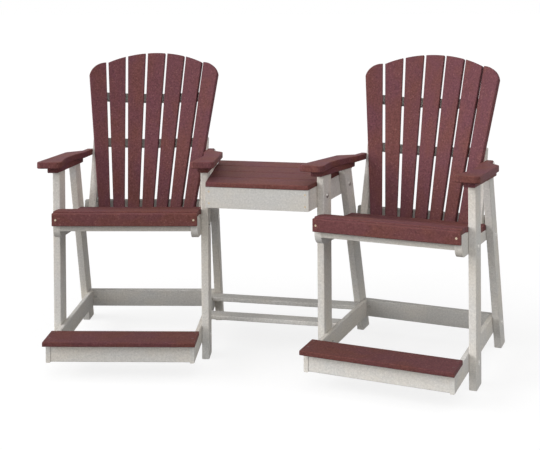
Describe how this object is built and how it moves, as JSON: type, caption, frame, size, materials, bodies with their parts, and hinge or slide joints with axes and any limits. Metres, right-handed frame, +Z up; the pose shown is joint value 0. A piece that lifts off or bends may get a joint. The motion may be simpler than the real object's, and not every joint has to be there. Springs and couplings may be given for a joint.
{
  "type": "companion seat bench",
  "caption": "Balcony-height companion bench: twin fan-back armchairs with footrests, angled towards each other and joined by a slatted side table and low stretchers.",
  "frame": {"origin": "centre of the bounding box's bottom face, on the floor", "axes": "+X along the length, from the left chair to the right chair as seen from the front; +Y towards the back; +Z up"},
  "size_m": [2.0112, 1.0044, 1.2793],
  "materials": {
    "maroon_lumber": "satin, finely grained and speckled",
    "grey_lumber": "satin, finely grained",
    "steel_hardware": "satin"
  },
  "bodies": {
    "root": {"barrel_nuts": "steel_hardware", "bolt_nuts": "steel_hardware", "carriage_bolts": "steel_hardware", "front_stretcher": "grey_lumber", "left_chair_arm_cleat_inner": "maroon_lumber", "left_chair_arm_cleat_outer": "maroon_lumber", "left_chair_arm_inner": "maroon_lumber", "left_chair_arm_outer": "maroon_lumber", "left_chair_back_slats": "maroon_lumber", "left_chair_back_upright_inner": "grey_lumber", "left_chair_back_upright_outer": "grey_lumber", "left_chair_foot_rail_inner": "grey_lumber", "left_chair_foot_rail_outer": "grey_lumber", "left_chair_footrest_board": "maroon_lumber", "left_chair_footrest_fascia": "grey_lumber", "left_chair_front_leg_inner": "grey_lumber", "left_chair_front_leg_outer": "grey_lumber", "left_chair_lower_back_brace": "grey_lumber", "left_chair_middle_back_brace": "grey_lumber", "left_chair_rear_cross_rail": "grey_lumber", "left_chair_rear_leg_inner": "grey_lumber", "left_chair_rear_leg_outer": "grey_lumber", "left_chair_seat_cross_member": "grey_lumber", "left_chair_seat_fascia": "maroon_lumber", "left_chair_seat_rail_inner": "grey_lumber", "left_chair_seat_rail_outer": "grey_lumber", "left_chair_seat_slats": "maroon_lumber", "left_chair_top_back_brace": "grey_lumber", "rear_stretcher": "grey_lumber", "right_chair_arm_cleat_inner": "maroon_lumber", "right_chair_arm_cleat_outer": "maroon_lumber", "right_chair_arm_inner": "maroon_lumber", "right_chair_arm_outer": "maroon_lumber", "right_chair_back_slats": "maroon_lumber", "right_chair_back_upright_inner": "grey_lumber", "right_chair_back_upright_outer": "grey_lumber", "right_chair_foot_rail_inner": "grey_lumber", "right_chair_foot_rail_outer": "grey_lumber", "right_chair_footrest_board": "maroon_lumber", "right_chair_footrest_fascia": "grey_lumber", "right_chair_front_leg_inner": "grey_lumber", "right_chair_front_leg_outer": "grey_lumber", "right_chair_lower_back_brace": "grey_lumber", "right_chair_middle_back_brace": "grey_lumber", "right_chair_rear_cross_rail": "grey_lumber", "right_chair_rear_leg_inner": "grey_lumber", "right_chair_rear_leg_outer": "grey_lumber", "right_chair_seat_cross_member": "grey_lumber", "right_chair_seat_fascia": "maroon_lumber", "right_chair_seat_rail_inner": "grey_lumber", "right_chair_seat_rail_outer": "grey_lumber", "right_chair_seat_slats": "maroon_lumber", "right_chair_top_back_brace": "grey_lumber", "table_front_apron": "grey_lumber", "table_left_apron": "grey_lumber", "table_rear_apron": "grey_lumber", "table_right_apron": "grey_lumber", "table_slats": "maroon_lumber", "wood_screws": "steel_hardware"}
  },
  "joints": []
}
